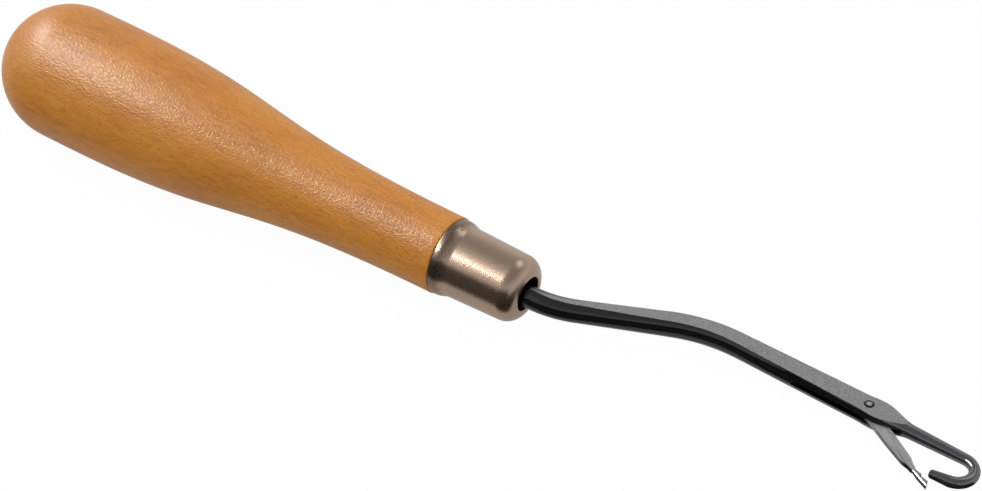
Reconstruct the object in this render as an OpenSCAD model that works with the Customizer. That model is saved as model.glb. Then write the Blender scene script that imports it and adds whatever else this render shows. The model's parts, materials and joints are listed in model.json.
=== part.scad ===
// Latch hook tool: a turned wooden grip, a drawn ferrule, a cranked steel
// shank with a slotted stem and a round hook, and a swinging latch on a rivet.
// Millimetres. The tool lies on a table: +X runs from the butt to the hook, +Z is up,
// the hook opens towards -Y, and the origin is under the middle of the tool.

/* [Handle] */
// Length of the grip from the butt to the ferrule
handle_len = 87.4; // [75:0.1:110]
// Length of the domed butt
butt_len = 12; // [8:0.5:16]
// Radius at the palm swell
swell_r = 11.34; // [9:0.01:13]
// Distance from the butt to the end of the palm swell
swell_end = 18; // [17:0.5:26]
// How far the swell's round form reaches into the taper
swell_reach = 32.5; // [20:0.5:34]
// How far the neck's slim form reaches back into the taper
neck_reach = 40.5; // [28:0.5:41]
// Radius of the grip where it meets the ferrule
neck_r = 6.41; // [6.3:0.01:7.4]
// Rounding of the wood's edge beside the ferrule
neck_edge = 0.25; // [0.1:0.05:0.5]
// Length of the tenon inside the ferrule
tenon_len = 10.8; // [6:0.1:11.5]

/* [Ferrule] */
// Length of the ferrule
ferrule_len = 14.8; // [14.5:0.1:18]
// Outer radius of the barrel behind the shoulder's taper
barrel_rear_r = 5.75; // [5.5:0.01:6]
// Outer radius of the barrel where the shoulder starts
barrel_front_r = 5.5; // [5:0.01:5.7]
// Radius of the flared rear rim
rim_r = 6.25; // [6.05:0.01:6.4]
// Width of the rim's straight lip
rim_lip = 0.75; // [0.5:0.05:1.2]
// Length of the hollow between the rim and the barrel
rim_flare = 2.25; // [1.5:0.05:3]
// Thickness of the sheet
ferrule_wall = 0.5; // [0.3:0.05:0.7]
// Radius of the front shoulder
shoulder_r = 2.8; // [2:0.1:3]
// Radius of the front hole around the shank
front_hole_r = 2.85; // [2.8:0.05:3.4]

/* [Shank] */
// Radius of the wire where it leaves the ferrule
wire_r = 1.75; // [1.5:0.01:1.9]
// Length of the tang inside the grip
tang_len = 34; // [20:1:60]
// Length of the tang's point
tang_point = 2.5; // [1:0.1:4]
// How far the shank sits below the grip's axis, on the hook's side
tang_drop = 0.4; // [0:0.05:0.6]
// Straight length between the ferrule and the first bend
lead_len = 0.75; // [0.5:0.05:4]
// Angle of the crank
crank_angle = 25.7; // [18:0.1:32]
// Sideways rise of the crank, corner to corner
crank_rise = 10.3; // [8.5:0.1:14]
// Radius of the first bend
bend_1_r = 17; // [8:0.5:22]
// Radius of the second bend
bend_2_r = 24; // [12:0.5:26]
// Radius of the wire in the first bend
bend_1_wire_r = 1.82; // [1.75:0.01:1.95]
// Radius of the wire in the second bend
bend_2_wire_r = 1.97; // [1.85:0.01:2.1]
// How far the stem turns back past the grip's direction, in degrees
stem_sag = 1.6; // [0:0.1:4]

/* [Stem] */
// Distance from the second bend's corner to the rivet
rivet_reach = 28.5; // [26:0.1:36]
// Radius of the stem behind the rivet
stem_r = 2.16; // [2.1:0.01:2.3]
// Distance from the rivet to the stem's fullest place
bulge_reach = 1.6; // [0.5:0.1:2.5]
// Radius of the stem at its fullest place
bulge_r = 2.32; // [2.25:0.01:2.5]
// Length of the shoulder from the fullest place to the neck
stem_shoulder = 6.2; // [5:0.1:8]
// Thickness over the flats at the stem's fullest place
flats_front = 2.6; // [2.2:0.05:3]
// Thickness over the flats where they run out on the first bend
flats_rear = 3.6; // [3.2:0.05:3.8]

/* [Slot] */
// Radius of the saw that cuts the slot
saw_r = 16; // [15:0.5:18]
// How far the slot's deepest place lies behind the rivet
saw_back = 2.5; // [1.5:0.1:3.5]
// Depth of the slot past the rivet's axis
saw_depth = 1.5; // [1.45:0.01:1.6]
// Clearance between the latch and each wall of the slot
slot_gap = 0.06; // [0.03:0.01:0.1]

/* [Hook] */
// Radius of the neck where the shoulder ends
neck_wire_r = 1.12; // [1:0.01:1.25]
// Radius of the wire round the hook
hook_wire_r = 0.9; // [0.8:0.01:0.98]
// Distance from the rivet to the centre of the hook's curve
hook_reach = 16.5; // [15.5:0.1:18]
// Radius of the hook's curve, to the middle of the wire
hook_r = 2.75; // [2.6:0.05:3]
// How far the wire turns round the hook, in degrees
hook_turn = 173.5; // [170:0.5:178]
// Length of the arm behind the curve
arm_len = 3; // [2.6:0.1:3.4]
// Radius of the arm's tip
tip_r = 0.68; // [0.6:0.01:0.76]
// Rounding of the tip's edge
tip_edge = 0.22; // [0.1:0.02:0.3]

/* [Latch] */
// Thickness of the latch's blade
latch_t = 0.8; // [0.7:0.02:0.9]
// Radius of the eye round the rivet
eye_r = 1.12; // [1.05:0.01:1.2]
// Width of the blade next to the eye
blade_w = 1.96; // [1.7:0.02:2.1]
// Distance from the rivet to where the blade starts to narrow
blade_len = 9.4; // [8:0.1:10]
// Width of the blade where the spoon starts
blade_tip_w = 1.2; // [1:0.02:1.3]
// Distance from the rivet to the spoon's full width
spoon_start = 13; // [12.8:0.1:13.4]
// Distance from the rivet to the end of the spoon
latch_len = 17.2; // [17:0.1:17.8]
// Outer radius of the spoon
spoon_r = 0.7; // [0.64:0.01:0.76]
// Radius of the hollow in the spoon
cup_r = 0.42; // [0.3:0.01:0.46]
// Clearance between the closed spoon and the hook's tip
seat_gap = 0.12; // [0.08:0.01:0.2]
// Height of the closed tip above the latch's middle line
seat_rise = 0.46; // [0.4:0.01:0.6]
// Clearance between the folded spoon and the stem
fold_gap = 0.12; // [0.08:0.01:0.3]
// How far the latch hangs open from the closed place, in degrees
latch_open = 5.2; // [1:0.1:120]

/* [Rivet] */
// Radius of the rivet
rivet_r = 0.6; // [0.5:0.01:0.65]
// Running clearance between the rivet and the latch's eye
rivet_gap = 0.05; // [0.02:0.01:0.08]
// Radius of the peened heads
rivet_head_r = 0.82; // [0.7:0.01:1]
// Depth of the countersinks that hold the heads
rivet_sink = 0.24; // [0.1:0.01:0.35]
// Height of the heads above the flats
rivet_dome = 0.1; // [0.05:0.01:0.2]

/* [Hidden] */

// Number of steps in each curve of the turned profiles
DOME_STEPS = 18;
TAPER_STEPS = 30;
FLARE_STEPS = 8;
ARC_STEPS = 14;
// Steps of the search for the lying angle, and its upper limit in degrees
LIE_STEPS = 30;
LIE_MAX = 12;
// How far cuts run past the faces they open
cut = 1;
// How far each straight length is sunk into the bend beside it, and how much slimmer it is there
weld = 0.1;
weld_step = 0.01;

// Places along the handle's axis, measured from the butt
ferrule_x = handle_len;
tenon_end_x = handle_len + tenon_len;
ferrule_front_x = ferrule_x + ferrule_len;
bend_1_start_x = ferrule_front_x + lead_len;

// Corners of the shank's middle line, and the straight length each bend takes up
tang_y = -tang_drop;
bend_1_run = bend_1_r * tan(crank_angle / 2);
corner_1 = [bend_1_start_x + bend_1_run, tang_y];
corner_2 = [corner_1.x + crank_rise / tan(crank_angle), tang_y + crank_rise];
bend_2_turn = crank_angle + stem_sag;
bend_2_run = bend_2_r * tan(bend_2_turn / 2);
crank_len = norm(corner_2 - corner_1) - bend_1_run - bend_2_run;
stem_dir = [cos(stem_sag), -sin(stem_sag)];
stem_normal = [sin(stem_sag), cos(stem_sag)];
rivet_at = corner_2 + rivet_reach * stem_dir;
bend_2_top_y = (corner_2 + bend_2_run * stem_dir - bend_2_r * stem_normal).y + bend_2_r + bend_2_wire_r;

// The stem in its own frame: origin at the rivet, +X towards the hook
bulge_x = bulge_reach;
slot_w = latch_t + 2 * slot_gap;
flats_slope = (flats_rear - flats_front) / 2 / (rivet_at.x + bulge_x - corner_1.x);
rivet_half_t = flats_front / 2 + flats_slope * bulge_x;

// The hook's tip in the stem's frame, and the latch's limits as angles below the stem
curve_end = [hook_reach + hook_r * sin(hook_turn), hook_r * cos(hook_turn) - hook_r];
tip_at = curve_end + arm_len * [cos(hook_turn), -sin(hook_turn)];
tip_dist = norm(tip_at);
closed_angle = atan2(-tip_at.y, tip_at.x) + asin(seat_rise / tip_dist);
folded_angle = 180 - asin((stem_r + spoon_r + fold_gap) / spoon_start);
rest_angle = closed_angle + latch_open;
arm_pitch = closed_angle - hook_turn;
seat_at = [sqrt(pow(tip_dist, 2) - pow(seat_rise, 2)), seat_rise];

// Turned profile of the grip as [radius, distance from the butt]
function bezier(p, t) =
    pow(1 - t, 3) * p[0] + 3 * pow(1 - t, 2) * t * p[1] + 3 * (1 - t) * t * t * p[2] + pow(t, 3) * p[3];
taper_frame = [
    [swell_r, swell_end],
    [swell_r, swell_end + swell_reach],
    [neck_r, handle_len - neck_reach],
    [neck_r, handle_len - neck_edge]
];
grip_curve = concat(
    [for (i = [0 : DOME_STEPS]) let (a = 90 * i / DOME_STEPS)
        [swell_r * sin(a), butt_len * (1 - cos(a))]],
    [for (i = [0 : TAPER_STEPS]) bezier(taper_frame, i / TAPER_STEPS)],
    [[neck_r - neck_edge, handle_len]]
);

// Outer radius of the ferrule's barrel and rim at a distance from the rim
barrel_end = ferrule_len - shoulder_r;
function barrel_radius(x) =
    barrel_rear_r + (barrel_front_r - barrel_rear_r) * (x - rim_lip - rim_flare) / (barrel_end - rim_lip - rim_flare);
function flare_radius(t) = barrel_rear_r + (rim_r - barrel_rear_r) * (1 + cos(180 * t)) / 2;
tenon_rear_r = barrel_radius(0) - ferrule_wall;
tenon_front_r = barrel_radius(tenon_len) - ferrule_wall;

// Lying angle at which the palm swell and the hook both touch the table
function grip_drop(angle) = max([for (p = grip_curve) p.y * sin(angle) + p.x * cos(angle)]);
hook_nose_x = (rivet_at + hook_reach * stem_dir).x + hook_r;
function hook_drop(angle) = hook_nose_x * sin(angle) + hook_wire_r;
function find_lie(low, high, n) =
    let (mid = (low + high) / 2)
    n == 0 ? mid : hook_drop(mid) < grip_drop(mid) ? find_lie(mid, high, n - 1) : find_lie(low, mid, n - 1);
lie_angle = find_lie(0, LIE_MAX, LIE_STEPS);
rear_x = min([for (p = grip_curve) p.y * cos(lie_angle) - p.x * sin(lie_angle)]);
nose_x = hook_nose_x * cos(lie_angle) + hook_wire_r;
side_y = max(swell_r, bend_2_top_y);
lie_shift = [-(rear_x + nose_x) / 2, (swell_r - side_y) / 2, grip_drop(lie_angle)];

// Where the latch turns in the lying frame, for whoever joins it
rivet_lying = [
    rivet_at.x * cos(lie_angle) + lie_shift.x,
    rivet_at.y + lie_shift.y,
    -rivet_at.x * sin(lie_angle) + lie_shift.z
];
echo(rivet_lying = rivet_lying, rivet_axis = [sin(lie_angle), 0, cos(lie_angle)]);
echo(lie_angle = lie_angle, closed = closed_angle, rest = rest_angle, folded = folded_angle);

// Lays the tool down, from its own straight frame with the butt at the origin
module lying() {
    translate(lie_shift) rotate([0, lie_angle, 0]) children();
}

// Puts a turned piece's axis along +X
module along_x(x = 0) {
    translate([x, 0, 0]) rotate([0, 90, 0]) children();
}

// Moves to the stem's frame, with the rivet at the origin
module on_stem() {
    translate([rivet_at.x, rivet_at.y, 0]) rotate([0, 0, -stem_sag]) children();
}

// A tapering length of wire along +X, with its ends sunk into the bends beside it
module wire_between_bends(len, r1, r2) {
    along_x(-weld) cylinder(h = len + 2 * weld, r1 = r1 - weld_step, r2 = r2 - weld_step, $fn = 64);
}

// A bend that starts at the origin along +X and turns towards +Y
module bend(turn, radius, r) {
    translate([0, radius, 0]) rotate([0, 0, -90])
        rotate_extrude(angle = turn, $fn = 180) translate([radius, 0]) circle(r = r, $fn = 64);
}

// Grip with its tenon and the blind bore that the tang is driven into
module handle() {
    color("#c88a3c") lying() difference() {
        along_x() rotate_extrude($fn = 128) polygon(concat(
            grip_curve,
            [[tenon_rear_r, handle_len], [tenon_front_r, tenon_end_x], [0, tenon_end_x]]
        ));
        tang_form(cut);
    }
}

// The tang, or with extra length the bore that holds it
module tang_form(extra = 0) {
    start_x = handle_len - tang_len;
    translate([0, tang_y, 0]) along_x(start_x) {
        cylinder(h = tang_point, r1 = wire_r / 3, r2 = wire_r, $fn = 64);
        translate([0, 0, tang_point])
            cylinder(h = tenon_end_x - start_x - tang_point + extra, r = wire_r, $fn = 64);
    }
}

// Cap of drawn sheet: flared rim, tapering barrel, round shoulder, open front
module ferrule() {
    outer_hole = acos((front_hole_r - barrel_front_r + shoulder_r) / shoulder_r);
    inner_arc = shoulder_r - ferrule_wall;
    inner_hole = acos((front_hole_r - barrel_front_r + shoulder_r) / inner_arc);
    centre = [barrel_front_r - shoulder_r, barrel_end];
    color("#9a8f86") lying() along_x(ferrule_x) rotate_extrude($fn = 128) polygon(concat(
        [[rim_r, 0], [rim_r, rim_lip]],
        [for (i = [1 : FLARE_STEPS]) let (t = i / FLARE_STEPS) [flare_radius(t), rim_lip + rim_flare * t]],
        [for (i = [0 : ARC_STEPS]) let (a = outer_hole * i / ARC_STEPS)
            centre + shoulder_r * [cos(a), sin(a)]],
        [for (i = [ARC_STEPS : -1 : 0]) let (a = inner_hole * i / ARC_STEPS)
            centre + inner_arc * [cos(a), sin(a)]],
        [[tenon_rear_r, 0]]
    ));
}

// Flats on the shank, closing in from the first bend to the stem's fullest place
module flats() {
    rear_x = ferrule_front_x - ferrule_len;
    front_x = hook_nose_x + hook_r;
    mid_x = rivet_at.x + bulge_x;
    rear_t = flats_front / 2 + flats_slope * (mid_x - rear_x);
    front_t = flats_front / 2;
    translate([0, bend_2_r, 0]) rotate([90, 0, 0]) linear_extrude(2 * bend_2_r) polygon([
        [rear_x, -rear_t], [mid_x, -front_t], [front_x, -front_t],
        [front_x, front_t], [mid_x, front_t], [rear_x, rear_t]
    ]);
}

// Stem behind the rivet, its fullest place, the shoulder and the neck up to the hook
module stem() {
    rear = bend_2_run - rivet_reach - weld;
    along_x() rotate_extrude($fn = 96) polygon(concat(
        [[0, rear], [bend_2_wire_r - weld_step, rear], [stem_r, -bulge_x]],
        [for (i = [0 : ARC_STEPS]) let (t = i / ARC_STEPS)
            [stem_r + (bulge_r - stem_r) * (1 - cos(180 * t)) / 2, bulge_x * (2 * t - 1)]],
        [for (i = [1 : ARC_STEPS]) let (t = i / ARC_STEPS)
            [neck_wire_r + (bulge_r - neck_wire_r) * (1 + cos(180 * t)) / 2, bulge_x + stem_shoulder * t]],
        [[hook_wire_r, hook_reach], [0, hook_reach]]
    ));
}

// Round hook and the arm with its blunt, slightly rounded tip
module hook() {
    translate([hook_reach, 0, 0]) mirror([0, 1, 0]) bend(hook_turn, hook_r, hook_wire_r);
    translate([curve_end.x, curve_end.y, 0]) rotate([0, 0, -hook_turn]) arm_form(0);
}

// The arm along +X, or with a gap the seat that the latch has for it
module arm_form(gap) {
    along_x() rotate_extrude($fn = 64) polygon([
        [0, -weld], [hook_wire_r - weld_step + gap, -weld], [tip_r + gap, arm_len - tip_edge],
        [tip_r + gap - tip_edge, arm_len + gap], [0, arm_len + gap]
    ]);
}

// Tang, crank, slotted stem and hook: one forged and bent steel wire
module hook_shank() {
    color("#2b2a2a") lying() {
        tang_form();
        difference() {
            intersection() {
                union() {
                    translate([0, tang_y, 0]) along_x(tenon_end_x)
                        cylinder(h = bend_1_start_x - tenon_end_x, r1 = wire_r, r2 = bend_1_wire_r, $fn = 64);
                    translate([bend_1_start_x, tang_y, 0]) bend(crank_angle, bend_1_r, bend_1_wire_r);
                    translate([corner_1.x, corner_1.y, 0]) rotate([0, 0, crank_angle])
                        translate([bend_1_run, 0, 0]) wire_between_bends(crank_len, bend_1_wire_r, bend_2_wire_r);
                    translate([corner_2.x, corner_2.y, 0]) rotate([0, 0, crank_angle])
                        translate([-bend_2_run, 0, 0]) mirror([0, 1, 0])
                            bend(bend_2_turn, bend_2_r, bend_2_wire_r);
                    on_stem() stem();
                    on_stem() hook();
                }
                flats();
            }
            on_stem() {
                translate([-saw_back, saw_depth - saw_r, -slot_w / 2]) cylinder(h = slot_w, r = saw_r, $fn = 180);
                rivet_form(0);
            }
        }
    }
}

// The rivet's pin and heads; a dome of 0 gives the bore and countersinks in the cheeks
module rivet_form(dome) {
    for (side = [0, 1]) mirror([0, 0, side]) rotate_extrude($fn = 64) polygon([
        [0, 0], [rivet_r, 0], [rivet_r, rivet_half_t - rivet_sink],
        [rivet_head_r, rivet_half_t], [rivet_head_r, rivet_half_t + (dome == 0 ? cut : 0)],
        [dome == 0 ? rivet_head_r : rivet_head_r * 0.6, rivet_half_t + (dome == 0 ? cut : dome)],
        [0, rivet_half_t + (dome == 0 ? cut : dome)]
    ]);
}

// Peened rivet through both cheeks of the slot
module latch_rivet() {
    color("#6c6862") lying() on_stem() rivet_form(rivet_dome);
}

// Latch in its own frame: eye at the origin, spoon towards +X, the hook's side at +Y
module latch_form() {
    narrow = spoon_start - blade_len;
    difference() {
        union() {
            translate([0, 0, -latch_t / 2]) linear_extrude(latch_t) {
                circle(r = eye_r, $fn = 64);
                polygon([
                    [0, -blade_w / 2], [blade_len, -blade_w / 2], [spoon_start, -blade_tip_w / 2],
                    [spoon_start, blade_tip_w / 2], [blade_len, blade_w / 2], [0, blade_w / 2]
                ]);
            }
            along_x() rotate_extrude($fn = 64) polygon(concat(
                [[0, blade_len + narrow / 3]],
                [for (i = [0 : ARC_STEPS]) let (t = i / ARC_STEPS)
                    [spoon_r * (1 + sin(180 * t - 90)) / 2, blade_len + narrow * (1 + 2 * t) / 3]],
                [for (i = [0 : ARC_STEPS]) let (a = 90 * i / ARC_STEPS)
                    [spoon_r * (0.45 + 0.55 * cos(a)), latch_len - spoon_r + spoon_r * sin(a)]],
                [[0, latch_len]]
            ));
        }
        cylinder(h = 4 * latch_t, r = rivet_r + rivet_gap, center = true, $fn = 64);
        cup();
        translate([seat_at.x, seat_at.y, 0]) rotate([0, 0, arm_pitch])
            translate([-arm_len, 0, 0]) arm_form(seat_gap);
    }
}

// Long hollow on the hook's side of the spoon
module cup() {
    cup_len = seat_at.x - spoon_start;
    translate([0, spoon_r, 0]) along_x(spoon_start) rotate_extrude($fn = 64) polygon([
        for (i = [0 : ARC_STEPS]) let (a = 180 * i / ARC_STEPS)
            [cup_r * sqrt(abs(sin(a))), cup_len * (1 - cos(a)) / 2 + (seat_at.x - spoon_start) * 0.3]
    ]);
}

// Latch at its resting angle below the stem
module latch() {
    color("#85837f") lying() on_stem() rotate([0, 0, -rest_angle]) latch_form();
}

handle();
ferrule();
hook_shank();
latch_rivet();
latch();
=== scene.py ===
"""Dresses the latch hook tool: a beech grip, a nickelled ferrule, a blackened steel hook and its latch.

The tool lies on a pale floor, on its palm swell and its hook. Sizes of the tool are in millimetres, in the
tool's own straight frame: X runs from the butt to the hook and Z is square to the flats of the stem.
"""

import json
import logging
import math
from dataclasses import dataclass
from enum import Enum

import bmesh
import bpy
from mathutils import Euler, Matrix, Vector
from mathutils.geometry import tessellate_polygon


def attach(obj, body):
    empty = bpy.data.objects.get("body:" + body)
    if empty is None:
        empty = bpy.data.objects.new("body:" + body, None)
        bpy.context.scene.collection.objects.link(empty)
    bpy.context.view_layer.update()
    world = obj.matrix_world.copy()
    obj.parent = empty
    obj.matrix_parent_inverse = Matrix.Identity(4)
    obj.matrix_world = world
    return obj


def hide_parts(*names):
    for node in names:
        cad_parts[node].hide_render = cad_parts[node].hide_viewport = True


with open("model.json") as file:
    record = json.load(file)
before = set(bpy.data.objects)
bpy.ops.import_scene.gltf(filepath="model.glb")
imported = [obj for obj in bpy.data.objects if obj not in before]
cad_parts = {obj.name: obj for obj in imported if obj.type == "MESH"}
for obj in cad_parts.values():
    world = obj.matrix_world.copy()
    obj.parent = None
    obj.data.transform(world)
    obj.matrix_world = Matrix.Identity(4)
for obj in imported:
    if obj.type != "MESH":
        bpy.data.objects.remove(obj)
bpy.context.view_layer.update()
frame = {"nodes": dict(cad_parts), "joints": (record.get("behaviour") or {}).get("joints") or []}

LOG = logging.getLogger("latch_hook")
MM = 0.001
SHARP_ANGLE = math.radians(35)
EASE = 0.364


class Body(str, Enum):
    """The two bodies that move against each other."""

    TOOL = "tool"
    LATCH = "latch"


class Slot(str, Enum):
    """Material slots of the record."""

    WOOD = "handle_wood"
    NICKEL = "ferrule_nickel"
    SHANK = "shank_steel"
    RIVET = "rivet_steel"
    LATCH = "latch_steel"


def linear(code: str) -> tuple[float, float, float, float]:
    """Turns an sRGB hex colour into the linear one that Blender's sockets take.

    Args:
        code: The colour as "#rrggbb".

    Returns:
        Red, green, blue and an alpha of 1.
    """
    parts = [int(code[i : i + 2], 16) / 255 for i in (1, 3, 5)]
    return (*(c / 12.92 if c <= 0.04045 else ((c + 0.055) / 1.055) ** 2.4 for c in parts), 1.0)


def add_node(
    tree: bpy.types.NodeTree, kind: str, inputs: dict | None = None, **settings: object
) -> bpy.types.Node:
    """Adds a node with its settings, and links or sets its inputs.

    Args:
        tree: The tree of a material, a world or a geometry modifier.
        kind: The node's type.
        inputs: What each input gets, by its name or number: a node, an output socket or a plain value.
        settings: The node's own properties.

    Returns:
        The new node.
    """
    node = tree.nodes.new(kind)
    for name, value in settings.items():
        setattr(node, name, value)
    for key, value in (inputs or {}).items():
        if isinstance(value, bpy.types.Node):
            value = value.outputs[0]
        if isinstance(value, bpy.types.NodeSocket):
            tree.links.new(value, node.inputs[key])
        else:
            node.inputs[key].default_value = value
    return node


def new_material(name: str) -> tuple[bpy.types.Material, bpy.types.NodeTree, bpy.types.Node]:
    """Makes an empty material with a Principled shader.

    Args:
        name: What the real material is.

    Returns:
        The material, its tree and its shader.
    """
    material = bpy.data.materials.new(name)
    material.use_nodes = True
    tree = material.node_tree
    tree.nodes.clear()
    shader = add_node(tree, "ShaderNodeBsdfPrincipled")
    add_node(tree, "ShaderNodeOutputMaterial", {"Surface": shader})
    return material, tree, shader


def local_millimetres(tree: bpy.types.NodeTree, place: Matrix) -> bpy.types.Node:
    """Turns Object coordinates into millimetres in a piece's own straight frame.

    Args:
        tree: The material's tree.
        place: Where that frame lies in the record's frame.

    Returns:
        The node whose output is the place in that frame.
    """
    coordinates = add_node(tree, "ShaderNodeTexCoord")
    mapping = {
        "Vector": coordinates.outputs["Object"],
        "Location": place.translation,
        "Rotation": place.to_euler("XYZ"),
        "Scale": (MM, MM, MM),
    }
    return add_node(tree, "ShaderNodeMapping", mapping, vector_type="TEXTURE")


def grain_noise(
    tree: bpy.types.NodeTree, place: bpy.types.Node, size: tuple, detail: float = 2.0
) -> bpy.types.Node:
    """Adds a noise whose grains have a real size.

    Args:
        tree: The material's tree.
        place: The coordinates in millimetres.
        size: Length of a grain along X, Y and Z, in millimetres.
        detail: Octaves of finer noise on top.

    Returns:
        The noise; its first output is the height from 0 to 1.
    """
    stretch = tuple(1 / length for length in size)
    scaled = add_node(tree, "ShaderNodeVectorMath", {0: place, 1: stretch}, operation="MULTIPLY")
    return add_node(tree, "ShaderNodeTexNoise", {"Vector": scaled, "Scale": 1.0, "Detail": detail})


@dataclass(frozen=True)
class ToolFrame:
    """Where the tool's straight frame and the latch's own frame lie in the record's frame."""

    tool: Matrix
    latch: Matrix

    @classmethod
    def from_joint(cls, joint: dict, rivet_at: Vector, stem_sag: float, rest_angle: float) -> "ToolFrame":
        """Works out both frames from the latch's hinge.

        Args:
            joint: The record's joint of the latch.
            rivet_at: The rivet in the tool's straight frame, in millimetres.
            stem_sag: Turn of the stem past the grip's direction, in radians.
            rest_angle: How far the latch hangs below the stem, in radians.

        Returns:
            The two frames.
        """
        hinge = Vector(joint["pos_m"])
        axis = Vector(joint["axis"])
        lie = Matrix.Rotation(math.atan2(axis.x, axis.z), 4, "Y")
        tool = Matrix.Translation(hinge) @ lie @ Matrix.Translation(-rivet_at * MM)
        latch = Matrix.Translation(hinge) @ lie @ Matrix.Rotation(-stem_sag - rest_angle, 4, "Z")
        return cls(tool, latch)


@dataclass(frozen=True)
class PhotographCamera:
    """The camera that the photograph's outline was fitted with: distances in metres, angles in degrees."""

    target: tuple[float, float, float] = (0.00373, 0.00426, 0.0083)
    distance: float = 0.5
    azimuth: float = 34.524
    elevation: float = 38.182
    roll: float = -0.504
    lens_mm: float = 118.2
    sensor_mm: float = 36.0

    def place(self) -> bpy.types.Object:
        """Adds the camera to the scene and returns it."""
        turn = Euler((math.radians(90 - self.elevation), 0, math.radians(self.azimuth)), "XYZ").to_matrix()
        turn = turn @ Matrix.Rotation(math.radians(self.roll), 3, "Z")
        data = bpy.data.cameras.new("photograph")
        data.lens = self.lens_mm
        data.sensor_width = self.sensor_mm
        data.clip_start = 0.01
        camera = bpy.data.objects.new("photograph", data)
        eye = Vector(self.target) + turn @ Vector((0, 0, self.distance))
        camera.matrix_world = Matrix.Translation(eye) @ turn.to_4x4()
        bpy.context.scene.collection.objects.link(camera)
        bpy.context.scene.camera = camera
        return camera


@dataclass(frozen=True)
class SoftLamp:
    """A softbox that points at the tool: metres, degrees, and its face's brightness, where 1 is white."""

    name: str
    azimuth: float
    elevation: float
    distance: float
    width: float
    height: float
    brightness: float
    roll: float = 0.0
    mirrored: bool = True
    lights: bool = True

    def place(self) -> None:
        """Adds the lamp to the scene."""
        data = bpy.data.lights.new(self.name, "AREA")
        data.shape = "RECTANGLE"
        data.size = self.width
        data.size_y = self.height
        data.energy = self.brightness * math.pi * self.width * self.height
        turn = Euler((math.radians(90 - self.elevation), 0, math.radians(self.azimuth)), "XYZ").to_matrix()
        place = turn @ Vector((0, 0, self.distance))
        turn = turn @ Matrix.Rotation(math.radians(self.roll), 3, "Z")
        lamp = bpy.data.objects.new(self.name, data)
        lamp.matrix_world = Matrix.Translation(place) @ turn.to_4x4()
        lamp.visible_camera = False
        lamp.visible_glossy = self.mirrored
        lamp.visible_diffuse = self.lights
        bpy.context.scene.collection.objects.link(lamp)


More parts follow.
